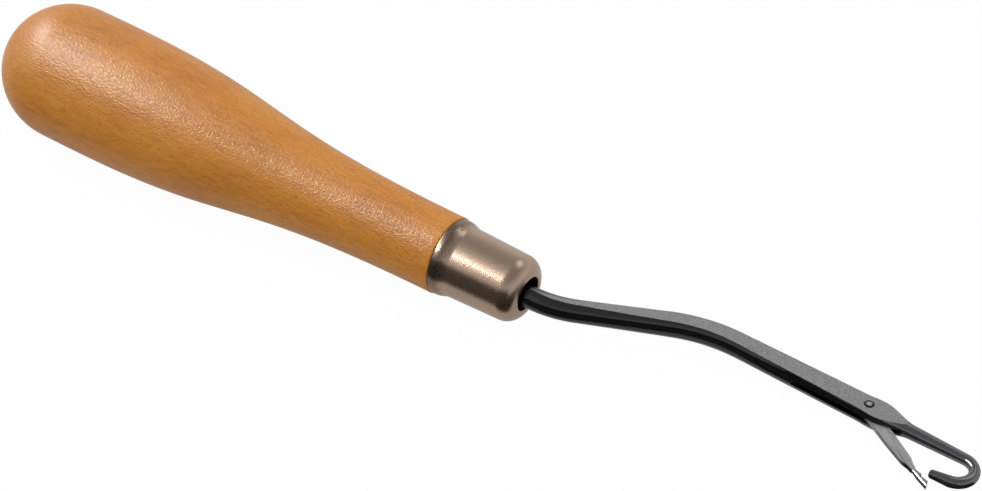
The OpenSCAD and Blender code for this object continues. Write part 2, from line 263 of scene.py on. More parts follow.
@dataclass(frozen=True)
class Studio:
    """A pale floor, a room that darkens towards its ceiling, softboxes and a black card before the tool."""

    floor_side: float = 12.0
    floor_gap: float = 0.00005
    floor_colour: str = "#c2c2c0"
    seen_glow: float = 0.975
    mirrored_glow: float = 0.5
    mirrored_horizon: float = 0.95
    mirrored_zenith: float = 0.4
    horizon: float = 0.4
    zenith: float = 1.0
    lamps: tuple[SoftLamp, ...] = (
        SoftLamp("window_strip", -73.0, 44.8, 0.58, 0.593, 0.09, 42.0, roll=11.3, lights=False),
        SoftLamp("window_fill", -73.0, 44.8, 0.58, 0.593, 0.07, 8.0, roll=11.3, mirrored=False),
        SoftLamp("rear_softbox", 165.0, 52.0, 0.9, 0.5, 0.3, 1.5),
        SoftLamp("front_fill", -20.0, 66.0, 0.9, 0.6, 0.6, 0.6, mirrored=False),
    )
    card_edge: tuple[tuple[float, float], ...] = (
        (-0.3, -0.018),
        (-0.03, -0.0175),
        (-0.006, -0.0138),
        (0.008, -0.0125),
        (0.016, -0.006),
        (0.028, -0.003),
        (0.05, 0.0055),
        (0.3, 0.0045),
    )
    card_fold: float = -0.25
    card_height: float = 0.10
    card_lift: float = 0.0003
    card_colour: str = "#141312"

    def build(self) -> None:
        """Adds everything round the tool to the scene."""
        bpy.context.scene.view_settings.view_transform = "Standard"
        self._floor()
        self._room()
        self._card()
        for lamp in self.lamps:
            lamp.place()

    def _stage_mesh(
        self, name: str, corners: list, faces: list, material: bpy.types.Material
    ) -> bpy.types.Object:
        """Adds a mesh that isn't part of the tool.

        Args:
            name: The object's name.
            corners: Its vertices.
            faces: Its faces.
            material: Its material.

        Returns:
            The new object.
        """
        mesh = bpy.data.meshes.new(name)
        mesh.from_pydata(corners, [], faces)
        mesh.materials.append(material)
        stage = bpy.data.objects.new(name, mesh)
        bpy.context.scene.collection.objects.link(stage)
        return stage

    def _floor(self) -> None:
        """Lays the floor: matte white paper that the camera and the metal see nearly evenly lit."""
        material, tree, shader = new_material("matte_white_paper")
        shader.inputs["Base Color"].default_value = linear(self.floor_colour)
        shader.inputs["Roughness"].default_value = 0.9
        shader.inputs["Specular IOR Level"].default_value = 0.2
        rays = add_node(tree, "ShaderNodeLightPath").outputs
        seen = {0: rays["Is Camera Ray"], 1: self.seen_glow}
        share = add_node(tree, "ShaderNodeMath", seen, operation="MULTIPLY")
        for kind in ("Is Glossy Ray", "Is Transmission Ray"):
            mirrored = {0: rays[kind], 1: self.mirrored_glow, 2: share}
            share = add_node(tree, "ShaderNodeMath", mirrored, operation="MULTIPLY_ADD")
        glow = add_node(tree, "ShaderNodeEmission", {"Color": (1.0, 1.0, 1.0, 1.0), "Strength": 1.0})
        mixed = add_node(tree, "ShaderNodeMixShader", {0: share, 1: shader, 2: glow})
        tree.links.new(mixed.outputs[0], tree.nodes["Material Output"].inputs["Surface"])
        half = self.floor_side / 2
        signs = ((-1, -1), (1, -1), (1, 1), (-1, 1))
        corners = [(half * x, half * y, -self.floor_gap) for x, y in signs]
        self._stage_mesh("floor", corners, [(0, 1, 2, 3)], material)

    def _room(self) -> None:
        """Lights the scene from all round: a pale horizon and a greyer ceiling."""
        world = bpy.data.worlds.new("studio_room")
        world.use_nodes = True
        tree = world.node_tree
        tree.nodes.clear()
        direction = add_node(tree, "ShaderNodeTexCoord")
        height = add_node(tree, "ShaderNodeSeparateXYZ", {0: direction.outputs["Generated"]}).outputs["Z"]
        ranges = {"Value": height, "From Min": 0.25, "From Max": 0.85}
        lit = add_node(tree, "ShaderNodeMapRange", {**ranges, "To Min": self.horizon, "To Max": self.zenith})
        mirrored = {**ranges, "To Min": self.mirrored_horizon, "To Max": self.mirrored_zenith}
        mirrored = add_node(tree, "ShaderNodeMapRange", mirrored, interpolation_type="SMOOTHSTEP")
        glossy = add_node(tree, "ShaderNodeLightPath").outputs["Is Glossy Ray"]
        grey = add_node(tree, "ShaderNodeMix", {"Factor": glossy, 2: lit, 3: mirrored})
        light = add_node(tree, "ShaderNodeBackground", {"Color": (1.0, 1.0, 1.0, 1.0), "Strength": grey})
        add_node(tree, "ShaderNodeOutputWorld", {"Surface": light})
        bpy.context.scene.world = world

    def _card(self) -> None:
        """Lays a black card in front of the tool, which only its bright metal and varnish mirror."""
        material, _, shader = new_material("black_card")
        shader.inputs["Base Color"].default_value = linear(self.card_colour)
        shader.inputs["Roughness"].default_value = 1.0
        near = [(x, y, self.card_lift) for x, y in self.card_edge]
        fold = [(x, self.card_fold, self.card_lift) for x, _ in self.card_edge]
        top = [(x, self.card_fold, self.card_height) for x, _ in self.card_edge]
        count = len(near)
        starts = [row + i for row in (0, count) for i in range(count - 1)]
        faces = [(i, i + 1, i + 1 + count, i + count) for i in starts]
        card = self._stage_mesh("black_card", near + fold + top, faces, material)
        card.visible_camera = False
        card.visible_diffuse = False
        card.visible_shadow = False


@dataclass(frozen=True)
class VarnishedBeech:
    """Turned beech under honey varnish: short brown flecks along the grain and a broken gloss, with painted
    shade on the tenon inside the ferrule.
    """

    dark: str = "#a8641c"
    middle: str = "#c27a20"
    light: str = "#d08c34"
    fleck: str = "#8c4c14"
    # painted shade: near black for the tenon deep inside the ferrule's mouth
    tenon_shade: str = "#0a0807"
    tenon_shade_margin: float = 0.3
    pith: tuple[float, float, float] = (0.0, 16.0, 24.0)
    ring_mm: float = 2.4

    def build(self, place: Matrix, neck_end: float) -> bpy.types.Material:
        """Makes the material.

        Args:
            place: Where the tool's straight frame lies.
            neck_end: Where the tenon starts, in millimetres from the butt; past it the wood is painted near
                black as shade inside the ferrule.

        Returns:
            The material.
        """
        # honey wood with short flecks; the uneven varnish breaks the highlight up; the tenon gets painted
        # shade
        material, tree, shader = new_material("varnished_beech")
        at = local_millimetres(tree, place)
        from_pith = add_node(tree, "ShaderNodeVectorMath", {0: at, 1: self.pith}, operation="ADD")
        spacing = 2 * math.pi / 20 / self.ring_mm
        rings = {"Vector": from_pith, "Scale": spacing, "Distortion": 1.6, "Detail": 2.0, "Detail Scale": 0.4}
        year = add_node(tree, "ShaderNodeTexWave", rings, wave_type="RINGS", rings_direction="X")
        fibre = grain_noise(tree, at, (3.2, 0.5, 0.5), 4.0)
        blotch = grain_noise(tree, at, (14.0, 7.0, 7.0), 2.0)
        ring = {0: year.outputs["Fac"], 1: 0.03, 2: 0.1}
        tone = add_node(tree, "ShaderNodeMath", ring, operation="MULTIPLY_ADD")
        tone = add_node(tree, "ShaderNodeMath", {0: fibre, 1: 0.55, 2: tone}, operation="MULTIPLY_ADD")
        tone = add_node(tree, "ShaderNodeMath", {0: blotch, 1: 0.45, 2: tone}, operation="MULTIPLY_ADD")
        ramp = add_node(tree, "ShaderNodeValToRGB", {"Fac": tone})
        ramp.color_ramp.elements[0].position = 0.38
        ramp.color_ramp.elements[0].color = linear(self.dark)
        ramp.color_ramp.elements[1].position = 0.85
        ramp.color_ramp.elements[1].color = linear(self.light)
        ramp.color_ramp.elements.new(0.58).color = linear(self.middle)
        rays = grain_noise(tree, at, (0.9, 0.26, 0.26), 1.0)
        span = {"Value": rays, "From Min": 0.6, "From Max": 0.72, "To Max": 0.5}
        shown = add_node(tree, "ShaderNodeMapRange", span)
        wood = {"Factor": shown, 6: ramp, 7: linear(self.fleck)}
        coloured = add_node(tree, "ShaderNodeMix", wood, data_type="RGBA").outputs[2]
        # painted shade: past the neck the tenon is painted near black, for the shade deep inside the ferrule
        along = add_node(tree, "ShaderNodeSeparateXYZ", {0: at}).outputs["X"]
        tenon_shade_from = neck_end + self.tenon_shade_margin
        inside = add_node(tree, "ShaderNodeMath", {0: along, 1: tenon_shade_from}, operation="GREATER_THAN")
        tenon_shaded = {"Factor": inside, 6: coloured, 7: linear(self.tenon_shade)}
        coloured = add_node(tree, "ShaderNodeMix", tenon_shaded, data_type="RGBA").outputs[2]
        tree.links.new(coloured, shader.inputs["Base Color"])
        pores = grain_noise(tree, at, (0.55, 0.3, 0.3), 1.0)
        sanding = grain_noise(tree, at, (0.16, 2.5, 2.5), 1.0)
        rough = add_node(tree, "ShaderNodeMath", {0: sanding, 1: 0.5, 2: pores}, operation="MULTIPLY_ADD")
        bump = add_node(tree, "ShaderNodeBump", {"Height": rough, "Strength": 1.0, "Distance": 0.00009})
        tree.links.new(bump.outputs[0], shader.inputs["Normal"])
        tree.links.new(bump.outputs[0], shader.inputs["Coat Normal"])
        shader.inputs["Roughness"].default_value = 0.5
        shader.inputs["Specular IOR Level"].default_value = 0.3
        shader.inputs["Coat Weight"].default_value = 0.2
        shader.inputs["Coat Roughness"].default_value = 0.2
        shader.inputs["Coat IOR"].default_value = 1.5
        return material


@dataclass(frozen=True)
class DullNickel:
    """Nickel plate on drawn steel: warm grey, satin, and tarnished in specks before the rear rim."""

    colour: str = "#a8917f"
    tarnish: str = "#3a322d"

    def build(self, place: Matrix, rear: float) -> bpy.types.Material:
        """Makes the material.

        Args:
            place: Where the tool's straight frame lies.
            rear: The ferrule's rear rim, in millimetres from the butt.

        Returns:
            The material.
        """
        # warm grey metal that mirrors softly, with dark specks behind the rim
        material, tree, shader = new_material("dull_nickel_plate")
        at = local_millimetres(tree, place)
        along = add_node(tree, "ShaderNodeSeparateXYZ", {0: at})
        speck = grain_noise(tree, at, (0.16, 0.16, 0.16), 3.0)
        ends = {"From Min": rear + 1.2, "From Max": rear + 3.6, "To Min": 0.62, "To Max": 0.1}
        band = {"Value": along.outputs["X"], **ends}
        level = add_node(tree, "ShaderNodeMapRange", band)
        shown = add_node(tree, "ShaderNodeMath", {0: speck, 1: level}, operation="LESS_THAN")
        amount = add_node(tree, "ShaderNodeMath", {0: shown, 1: 0.6}, operation="MULTIPLY")
        tone = {"Factor": amount, 6: linear(self.colour), 7: linear(self.tarnish)}
        mixed = add_node(tree, "ShaderNodeMix", tone, data_type="RGBA")
        tree.links.new(mixed.outputs[2], shader.inputs["Base Color"])
        satin = grain_noise(tree, at, (0.12, 0.12, 0.12), 2.0)
        roughness = add_node(tree, "ShaderNodeMapRange", {"Value": satin, "To Min": 0.2, "To Max": 0.38})
        tree.links.new(roughness.outputs[0], shader.inputs["Roughness"])
        bump = add_node(tree, "ShaderNodeBump", {"Height": satin, "Strength": 0.3, "Distance": 0.00001})
        tree.links.new(bump.outputs[0], shader.inputs["Normal"])
        shader.inputs["Metallic"].default_value = 1.0
        return material


@dataclass(frozen=True)
class BlackenedSteel:
    """Forged wire blackened in oil: black sides, rubbed lighter at the hook, and worn matte grey flats."""

    black: str = "#3e3e40"
    rubbed: str = "#67676a"
    rub_span: tuple[float, float] = (-1.0, 3.0)
    worn: str = "#8e8e8e"
    grain: str = "#6a6a6a"

    def build(self, place: Matrix, half_thickness: float, slope: float, thin_at: float) -> bpy.types.Material:
        """Makes the material.

        Args:
            place: Where the tool's straight frame lies.
            half_thickness: Half the thickness over the flats at their thinnest place.
            slope: How fast that half thickness grows towards the grip.
            thin_at: The flats' thinnest place, in millimetres from the butt.

        Returns:
            The material.
        """
        # glossy black round sides against grained grey flats
        material, tree, shader = new_material("blackened_steel")
        at = local_millimetres(tree, place)
        axes = add_node(tree, "ShaderNodeSeparateXYZ", {0: at})
        height = add_node(tree, "ShaderNodeMath", {0: axes.outputs["Z"]}, operation="ABSOLUTE")
        level = {0: axes.outputs["X"], 1: slope, 2: height}
        lifted = add_node(tree, "ShaderNodeMath", level, operation="MULTIPLY_ADD")
        face = half_thickness + slope * thin_at
        span = {"Value": lifted, "From Min": face - 0.04, "From Max": face - 0.01}
        flat = add_node(tree, "ShaderNodeMapRange", span)
        grit = grain_noise(tree, at, (0.25, 0.12, 0.12), 2.0)
        shown = add_node(tree, "ShaderNodeMapRange", {"Value": grit, "From Min": 0.35, "From Max": 0.62})
        grey = {"Factor": shown, 6: linear(self.grain), 7: linear(self.worn)}
        grey = add_node(tree, "ShaderNodeMix", grey, data_type="RGBA").outputs[2]
        rub_from, rub_to = (thin_at + reach for reach in self.rub_span)
        rubbing = {"Value": axes.outputs["X"], "From Min": rub_from, "From Max": rub_to}
        rubbing = add_node(tree, "ShaderNodeMapRange", rubbing)
        side = {"Factor": rubbing, 6: linear(self.black), 7: linear(self.rubbed)}
        side = add_node(tree, "ShaderNodeMix", side, data_type="RGBA").outputs[2]
        tone = {"Factor": flat, 6: side, 7: grey}
        mixed = add_node(tree, "ShaderNodeMix", tone, data_type="RGBA")
        tree.links.new(mixed.outputs[2], shader.inputs["Base Color"])
        smooth = add_node(tree, "ShaderNodeMapRange", {"Value": flat, "To Min": 0.11, "To Max": 0.5})
        roughness = add_node(tree, "ShaderNodeMath", {0: grit, 1: 0.1, 2: smooth}, operation="MULTIPLY_ADD")
        tree.links.new(roughness.outputs[0], shader.inputs["Roughness"])
        bump = add_node(tree, "ShaderNodeBump", {"Height": grit, "Strength": 0.3, "Distance": 0.00002})
        tree.links.new(bump.outputs[0], shader.inputs["Normal"])
        metal = add_node(tree, "ShaderNodeMapRange", {"Value": flat, "To Min": 0.92, "To Max": 0.5})
        tree.links.new(metal.outputs[0], shader.inputs["Metallic"])
        return material


@dataclass(frozen=True)
class DrawnStrip:
    """Steel strip left as drawn: matte with dark lines along it, and polished where yarn rubs it."""

    polished_from: float
    colour: str = "#a2a2a2"
    line: str = "#6c6c6c"
    face: float = 0.38
    blend: float = 1.0
    spoon_after: float = 2.6

    def build(self, place: Matrix) -> bpy.types.Material:
        """Makes the material.

        Args:
            place: Where the piece's own straight frame lies.

        Returns:
            The material.
        """
        # matte grey blade with dark lines, and a bright spoon
        material, tree, shader = new_material("drawn_steel_strip")
        at = local_millimetres(tree, place)
        axes = add_node(tree, "ShaderNodeSeparateXYZ", {0: at})
        lines = grain_noise(tree, at, (7.0, 0.14, 0.14), 2.0)
        shown = add_node(tree, "ShaderNodeMapRange", {"Value": lines, "From Min": 0.36, "From Max": 0.56})
        tone = {"Factor": shown, 6: linear(self.line), 7: linear(self.colour)}
        tone = add_node(tree, "ShaderNodeMix", tone, data_type="RGBA").outputs[2]
        tree.links.new(tone, shader.inputs["Base Color"])
        height = add_node(tree, "ShaderNodeMath", {0: axes.outputs["Z"]}, operation="ABSOLUTE")
        round_side = add_node(tree, "ShaderNodeMath", {0: height, 1: self.face}, operation="LESS_THAN")
        along = axes.outputs["X"]
        span = {"Value": along, "From Min": self.polished_from, "From Max": self.polished_from + self.blend}
        past = add_node(tree, "ShaderNodeMapRange", span)
        spoon_from = self.polished_from + self.spoon_after
        spoon = add_node(tree, "ShaderNodeMath", {0: along, 1: spoon_from}, operation="GREATER_THAN")
        where = add_node(tree, "ShaderNodeMath", {0: round_side, 1: spoon}, operation="MAXIMUM")
        polish = add_node(tree, "ShaderNodeMath", {0: past, 1: where}, operation="MULTIPLY")
        metal = add_node(tree, "ShaderNodeMapRange", {"Value": polish, "To Min": 0.5, "To Max": 1.0})
        tree.links.new(metal.outputs[0], shader.inputs["Metallic"])
        smooth = add_node(tree, "ShaderNodeMapRange", {"Value": polish, "To Min": 0.42, "To Max": 0.16})
        roughness = add_node(tree, "ShaderNodeMath", {0: lines, 1: 0.12, 2: smooth}, operation="MULTIPLY_ADD")
        tree.links.new(roughness.outputs[0], shader.inputs["Roughness"])
        bump = add_node(tree, "ShaderNodeBump", {"Height": lines, "Strength": 0.4, "Distance": 0.00003})
        tree.links.new(bump.outputs[0], shader.inputs["Normal"])
        return material


@dataclass(frozen=True)
class PeenedSteel:
    """Hammered end of a steel pin: painted shade in a ring, for the shade of a sunk ring that the mesh lacks,
    round a rough middle that glints.
    """

    middle: str = "#a3a19e"
    # painted shade of a sunk ring round the head
    ring: str = "#262524"
    ring_from: float = 0.5

    def build(self, place: Matrix) -> bpy.types.Material:
        """Makes the material.

        Args:
            place: A frame with the pin's middle at its origin and the pin along Z.

        Returns:
            The material.
        """
        # painted shade in a ring, and small glints from the bump, that mark the rivet on the flat
        material, tree, shader = new_material("peened_steel")
        at = local_millimetres(tree, place)
        across = add_node(tree, "ShaderNodeVectorMath", {0: at, 1: (1.0, 1.0, 0.0)}, operation="MULTIPLY")
        radius = add_node(tree, "ShaderNodeVectorMath", {0: across}, operation="LENGTH").outputs["Value"]
        blows = grain_noise(tree, at, (0.22, 0.22, 0.22), 2.0)
        uneven = add_node(tree, "ShaderNodeMath", {0: blows, 1: 0.5, 2: radius}, operation="MULTIPLY_ADD")
        span = {"Value": uneven, "From Min": self.ring_from + 0.1, "From Max": self.ring_from + 0.3}
        shown = add_node(tree, "ShaderNodeMapRange", span)
        tone = {"Factor": shown, 6: linear(self.middle), 7: linear(self.ring)}
        mixed = add_node(tree, "ShaderNodeMix", tone, data_type="RGBA")
        tree.links.new(mixed.outputs[2], shader.inputs["Base Color"])
        bump = add_node(tree, "ShaderNodeBump", {"Height": blows, "Strength": 1.0, "Distance": 0.0001})
        tree.links.new(bump.outputs[0], shader.inputs["Normal"])
        shader.inputs["Metallic"].default_value = 1.0
        shader.inputs["Roughness"].default_value = 0.25
        return material


class TurningTree:
    """A geometry tree that strings curves into a profile and turns it round the Z axis.

    A profile's points are (radius, distance along the axis). The path's own radius only has to be more than
    nothing.
    """

    PATH_RADIUS = 0.001
    MERGE = 0.000002

    def __init__(self, name: str) -> None:
        """Starts the tree with the inputs that every turned form has."""
        self.tree = bpy.data.node_groups.new(name, "GeometryNodeTree")
        self.tree.interface.new_socket("Geometry", in_out="OUTPUT", socket_type="NodeSocketGeometry")
        self.entry = add_node(self.tree, "NodeGroupInput")
        self.values: dict[str, object] = {}
        self.curves: list[bpy.types.Node] = []
        self.size("Segments", "NodeSocketInt", 192)
        self.size("Finish", "NodeSocketMaterial", None)

    def size(self, name: str, kind: str, value: object) -> bpy.types.NodeSocket:
        """Adds a named input.

        Args:
            name: The input's name.
            kind: Its socket type.
            value: What the modifier sets it to.

        Returns:
            The socket inside the tree.
        """
        self.tree.interface.new_socket(name, in_out="INPUT", socket_type=kind)
        self.values[name] = value
        return self.entry.outputs[name]

    def point(self, name: str, radius: float, along: float) -> bpy.types.NodeSocket:
        """Adds a named input for a point of the profile.

        Args:
            name: The input's name.
            radius: How far the point is from the axis, in millimetres.
            along: Where it is along the axis, in millimetres.

        Returns:
            The socket inside the tree.
        """
        return self.size(name, "NodeSocketVector", (radius * MM, along * MM, 0.0))

    def line(self, start: bpy.types.NodeSocket, end: bpy.types.NodeSocket) -> None:
        """Adds a straight stretch.

        Args:
            start: Its first point.
            end: Its last point.
        """
        ends = {"Start": start, "End": end}
        self.curves.append(add_node(self.tree, "GeometryNodeCurvePrimitiveLine", ends))

    def curve(self, points: list[bpy.types.NodeSocket], steps: int) -> None:
        """Adds a smooth stretch.

        Args:
            points: Its start, its two handles and its end.
            steps: How many stretches it is cut into.
        """
        keys = dict(zip(("Start", "Start Handle", "End Handle", "End"), points))
        keys["Resolution"] = steps
        self.curves.append(add_node(self.tree, "GeometryNodeCurvePrimitiveBezierSegment", keys))

    def arc(
        self,
        centre: bpy.types.NodeSocket,
        radii: bpy.types.NodeSocket,
        angles: tuple[float, float],
        steps: int,
    ) -> None:
        """Adds a round stretch.

        Args:
            centre: Its centre.
            radii: Its radius across and along the axis.
            angles: Where it starts and how far it turns, in radians, from the radius towards the axis.
            steps: How many points it has.
        """
        shape = {"Resolution": steps, "Radius": 1.0, "Start Angle": angles[0], "Sweep Angle": angles[1]}
        unit = add_node(self.tree, "GeometryNodeCurveArc", shape, mode="RADIUS")
        placed = {"Geometry": unit, "Translation": centre, "Scale": radii}
        self.curves.append(add_node(self.tree, "GeometryNodeTransform", placed))

    def finish(self) -> None:
        """Turns the profile, merges its seams and sets the material."""
        tree = self.tree
        joined = add_node(tree, "GeometryNodeJoinGeometry")
        for curve in self.curves:
            tree.links.new(curve.outputs[0], joined.inputs[0])
        moved = {"Geometry": joined, "Translation": (-self.PATH_RADIUS, 0.0, 0.0), "Scale": (1.0, -1.0, 1.0)}
        profile = add_node(tree, "GeometryNodeTransform", moved)
        round_path = {"Resolution": self.entry.outputs["Segments"], "Radius": self.PATH_RADIUS}
        path = add_node(tree, "GeometryNodeCurvePrimitiveCircle", round_path)
        turned = add_node(tree, "GeometryNodeCurveToMesh", {"Curve": path, "Profile Curve": profile})
        merged = add_node(tree, "GeometryNodeMergeByDistance", {"Geometry": turned, "Distance": self.MERGE})
        smooth = add_node(tree, "GeometryNodeSetShadeSmooth", {"Geometry": merged})
        real = add_node(tree, "GeometryNodeRealizeInstances", {"Geometry": smooth})
        finish = {"Geometry": real, "Material": self.entry.outputs["Finish"]}
        dressed = add_node(tree, "GeometryNodeSetMaterial", finish)
        add_node(tree, "NodeGroupOutput", {0: dressed})

    def grow(self, name: str, place: Matrix) -> bpy.types.Object:
        """Runs the tree and keeps its result as a plain mesh.

        Args:
            name: The piece's name.
            place: Where the turning axis lies in the record's frame.

        Returns:
            The piece, with its place in its mesh.
        """
        host = bpy.data.objects.new(name + "_host", bpy.data.meshes.new(name + "_host"))
        bpy.context.scene.collection.objects.link(host)
        modifier = host.modifiers.new("turning", "NODES")
        modifier.node_group = self.tree
        for socket in self.tree.interface.items_tree:
            if socket.in_out == "INPUT" and self.values[socket.name] is not None:
                modifier[socket.identifier] = self.values[socket.name]
        evaluated = host.evaluated_get(bpy.context.evaluated_depsgraph_get())
        mesh = bpy.data.meshes.new_from_object(evaluated)
        bpy.data.objects.remove(host)
        mesh.name = name
        shape = bmesh.new()
        shape.from_mesh(mesh)
        bmesh.ops.recalc_face_normals(shape, faces=shape.faces)
        shape.to_mesh(mesh)
        shape.free()
        mesh.transform(place)
        mesh.set_sharp_from_angle(angle=SHARP_ANGLE)
        piece = bpy.data.objects.new(name, mesh)
        bpy.context.scene.collection.objects.link(piece)
        return piece


@dataclass(frozen=True)
class Ferrule:
    """Cap of drawn sheet with a flared rim, a tapering barrel, a round shoulder and an open front."""

    length: float = 14.8
    barrel_rear_r: float = 5.75
    barrel_front_r: float = 5.5
    rim_r: float = 6.25
    rim_lip: float = 0.75
    rim_flare: float = 2.25
    rim_round: float = 0.2
    wall: float = 0.5
    shoulder_r: float = 2.8
    hole_r: float = 2.85

    @property
    def barrel_end(self) -> float:
        """Where the shoulder starts."""
        return self.length - self.shoulder_r

    def barrel_radius(self, along: float) -> float:
        """Radius of the barrel's taper at a distance from the rear rim."""
        barrel_start = self.rim_lip + self.rim_flare
        share = (along - barrel_start) / (self.barrel_end - barrel_start)
        return self.barrel_rear_r + (self.barrel_front_r - self.barrel_rear_r) * share

    def tenon_radius(self, along: float) -> float:
        """Radius of the wood inside the cap at a distance from the rear rim."""
        return self.barrel_radius(along) - self.wall

    def build(self, place: Matrix, material: bpy.types.Material) -> bpy.types.Object:
        """Makes the cap.

        Args:
            place: Where the turning axis lies, with the rear rim at the origin.
            material: Its finish.

        Returns:
            The piece.
        """
        turning = TurningTree("drawn_cap")
        turning.values["Finish"] = material
        lip = turning.point("Lip", self.rim_r, self.rim_lip)
        lip_start = turning.point("Rim Edge", self.rim_r, self.rim_round)
        rear_edge = turning.point("Rear Edge", self.rim_r - self.rim_round, 0)
        rear_inner = turning.point("Rear Inner", self.tenon_radius(0), 0)
        ease = self.rim_flare * EASE
        barrel_start = self.rim_lip + self.rim_flare
        flare_out = turning.point("Flare Handle", self.rim_r, self.rim_lip + ease)
        flare_in = turning.point("Hollow Handle", self.barrel_rear_r, barrel_start - ease)
        barrel = turning.point("Barrel Start", self.barrel_rear_r, barrel_start)
        barrel_end = turning.point("Barrel End", self.barrel_front_r, self.barrel_end)
        turning.line(rear_inner, rear_edge)
        rim_centre = turning.point("Rim Centre", self.rim_r - self.rim_round, self.rim_round)
        rim_size = turning.point("Rim Round", self.rim_round, self.rim_round)
        turning.arc(rim_centre, rim_size, (-math.pi / 2, math.pi / 2), 6)
        turning.line(lip_start, lip)
        turning.curve([lip, flare_out, flare_in, barrel], 20)
        turning.line(barrel, barrel_end)
        middle_r = self.shoulder_r - self.wall / 2
        centre_r = self.barrel_front_r - self.shoulder_r
        sweep = math.acos((self.hole_r + self.wall / 2 - centre_r) / middle_r)
        centre = turning.point("Shoulder Centre", centre_r, self.barrel_end)
        outer = turning.point("Shoulder Round", self.shoulder_r, self.shoulder_r)
        inner = turning.point("Inner Round", self.shoulder_r - self.wall, self.shoulder_r - self.wall)
        turning.arc(centre, outer, (0, sweep), 24)
        lip_r = centre_r + middle_r * math.cos(sweep)
        mouth = turning.point("Mouth Centre", lip_r, self.barrel_end + middle_r * math.sin(sweep))
        half_wall = turning.point("Mouth Round", self.wall / 2, self.wall / 2)
        turning.arc(mouth, half_wall, (sweep, math.pi), 10)
        turning.arc(centre, inner, (sweep, -sweep), 16)
        inner_end = turning.point("Inner End", self.barrel_front_r - self.wall, self.barrel_end)
        turning.line(inner_end, rear_inner)
        turning.finish()
        piece = turning.grow("ferrule_cap", place)
        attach(piece, Body.TOOL.value)
        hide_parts("ferrule")
        return piece


@dataclass(frozen=True)
class Grip:
    """Turned grip: domed butt, palm swell, long taper, a neck, and the tenon inside the ferrule."""

    length: float = 87.4
    butt_len: float = 12.0
    swell_r: float = 11.34
    swell_end: float = 18.0
    swell_reach: float = 32.5
    neck_reach: float = 40.5
    neck_r: float = 6.41
    neck_edge: float = 0.25
    tenon_len: float = 10.8

    def build(self, place: Matrix, material: bpy.types.Material, ferrule: Ferrule) -> bpy.types.Object:
        """Makes the grip.

        Args:
            place: Where the turning axis lies, with the butt at the origin.
            material: Its finish.
            ferrule: The cap that the tenon fits.

        Returns:
            The piece.
        """
        turning = TurningTree("turned_grip")
        turning.values["Finish"] = material
        dome_centre = turning.point("Butt Centre", 0, self.butt_len)
        dome_size = turning.point("Butt Round", self.swell_r, self.butt_len)
        turning.arc(dome_centre, dome_size, (-math.pi / 2, math.pi / 2), 48)
        swell = turning.point("Swell Start", self.swell_r, self.butt_len)
        taper = turning.point("Swell End", self.swell_r, self.swell_end)
        swell_handle = turning.point("Swell Handle", self.swell_r, self.swell_end + self.swell_reach)
        neck_handle = turning.point("Neck Handle", self.neck_r, self.length - self.neck_reach)
        neck = turning.point("Neck End", self.neck_r, self.length - self.neck_edge)
        turning.line(swell, taper)
        turning.curve([taper, swell_handle, neck_handle, neck], 120)
        edge_centre = turning.point("Edge Centre", self.neck_r - self.neck_edge, self.length - self.neck_edge)
        edge_size = turning.point("Edge Round", self.neck_edge, self.neck_edge)
        turning.arc(edge_centre, edge_size, (0, math.pi / 2), 6)
        face_outer = turning.point("Face Outer", self.neck_r - self.neck_edge, self.length)
        face_inner = turning.point("Face Inner", ferrule.tenon_radius(0), self.length)
        tenon_r = ferrule.tenon_radius(self.tenon_len)
        tenon_end = turning.point("Tenon End", tenon_r, self.length + self.tenon_len)
        middle = turning.point("Tenon Middle", 0, self.length + self.tenon_len)
        turning.line(face_outer, face_inner)
        turning.line(face_inner, tenon_end)
        turning.line(tenon_end, middle)
        turning.finish()
        piece = turning.grow("turned_handle", place)
        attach(piece, Body.TOOL.value)
        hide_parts("handle")
        return piece


@dataclass(frozen=True)
class HookShank:
    """The forged wire: lead, crank, flattened stem, neck and hook."""

    ferrule_front: float
    lead_len: float = 0.75
    tang_drop: float = 0.4
    crank_angle: float = 25.7
    crank_rise: float = 10.3
    bend_1_r: float = 17.0
    stem_sag: float = 1.6
    rivet_reach: float = 28.5
    bulge_reach: float = 1.6
    flats_front: float = 2.6
    flats_rear: float = 3.6

    @property
    def corner_1(self) -> Vector:
        """Corner of the first bend in the tool's frame."""
        run = self.bend_1_r * math.tan(math.radians(self.crank_angle) / 2)
        return Vector((self.ferrule_front + self.lead_len + run, -self.tang_drop, 0))

    @property
    def rivet_at(self) -> Vector:
        """The rivet in the tool's frame."""
        crank = Vector((self.crank_rise / math.tan(math.radians(self.crank_angle)), self.crank_rise, 0))
        sag = math.radians(self.stem_sag)
        return self.corner_1 + crank + self.rivet_reach * Vector((math.cos(sag), -math.sin(sag), 0))

    def dress(self, place: Matrix, finish: BlackenedSteel) -> None:
        """Gives the wire its finish.

        Args:
            place: Where the tool's straight frame lies.
            finish: The finish.
        """
        thin_at = self.rivet_at.x + self.bulge_reach
        slope = (self.flats_rear - self.flats_front) / 2 / (thin_at - self.corner_1.x)
        material = finish.build(place, self.flats_front / 2, slope, thin_at)
        frame["nodes"]["hook_shank"].material_slots[0].material = material


